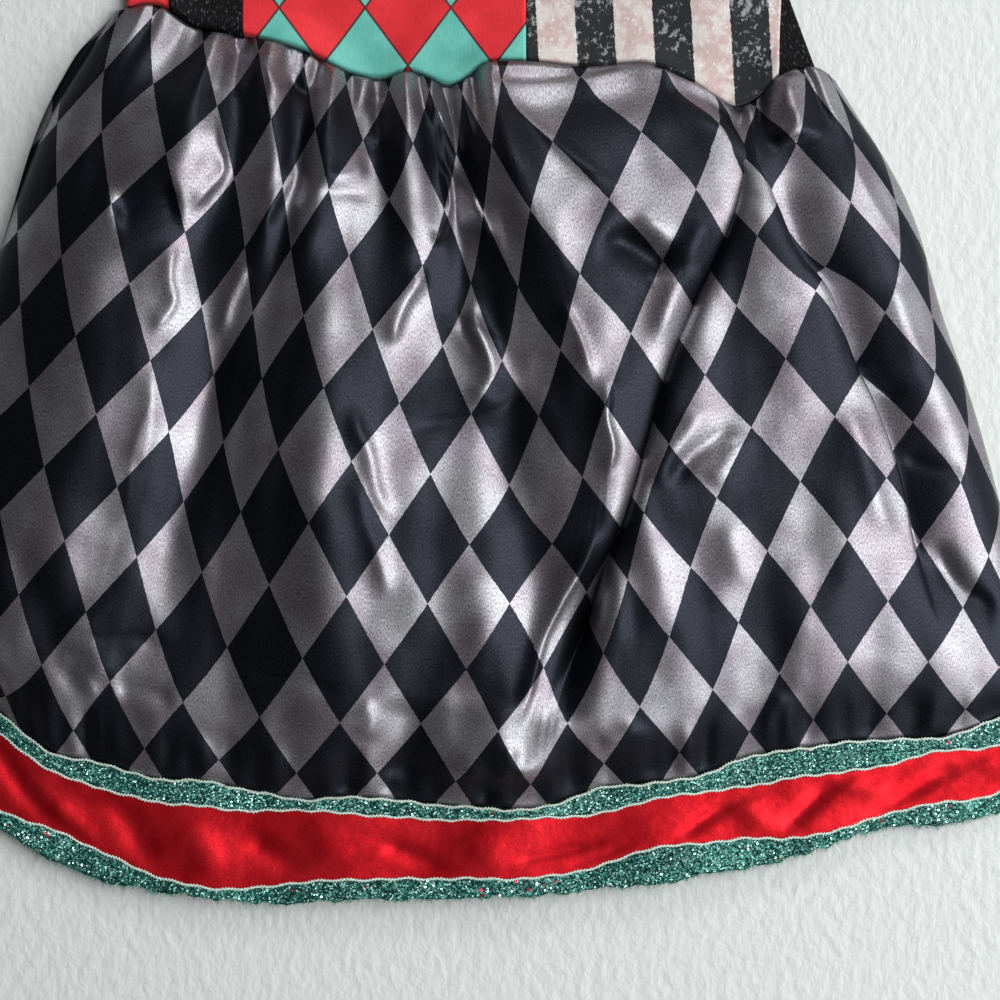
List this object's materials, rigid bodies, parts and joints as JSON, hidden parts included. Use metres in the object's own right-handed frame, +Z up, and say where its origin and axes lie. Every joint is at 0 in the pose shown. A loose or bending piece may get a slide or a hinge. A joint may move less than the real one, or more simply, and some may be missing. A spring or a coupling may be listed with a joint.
{
  "type": "clown costume dress",
  "caption": "Child's sleeveless clown dress laid flat: harlequin and striped bodice, wide straps and a gathered diamond-print skirt with a red satin and teal glitter border.",
  "frame": {"origin": "centre of the garment's outline, on the surface it lies on", "axes": "+X to the right of the garment as seen from above, +Y from the hem to the neck, +Z up from the surface"},
  "size_m": [0.4862, 0.5939, 0.0397],
  "materials": {
    "skirt_satin": "satin with a printed grid of grey and black diamonds",
    "glitter_ribbon": "teal ribbon covered in glitter, with pale overlocked edges",
    "red_satin": "dark red satin with soft wrinkles",
    "harlequin_jersey": "matt stretch cloth printed with red and teal diamonds",
    "striped_jersey": "matt stretch cloth printed with worn black stripes on pale pink",
    "black_jersey": "matt black stretch cloth",
    "black_elastic": "ribbed black elastic"
  },
  "bodies": {
    "root": {"skirt_front": "skirt_satin", "skirt_back": "skirt_satin", "hem_glitter_upper_front": "glitter_ribbon", "hem_glitter_upper_back": "glitter_ribbon", "hem_band_front": "red_satin", "hem_band_back": "red_satin", "hem_glitter_lower_front": "glitter_ribbon", "hem_glitter_lower_back": "glitter_ribbon", "bodice_front_harlequin": "harlequin_jersey", "bodice_front_stripes": "striped_jersey", "bodice_back": "black_jersey", "strap_left": "black_elastic", "strap_right": "black_elastic"}
  },
  "joints": []
}
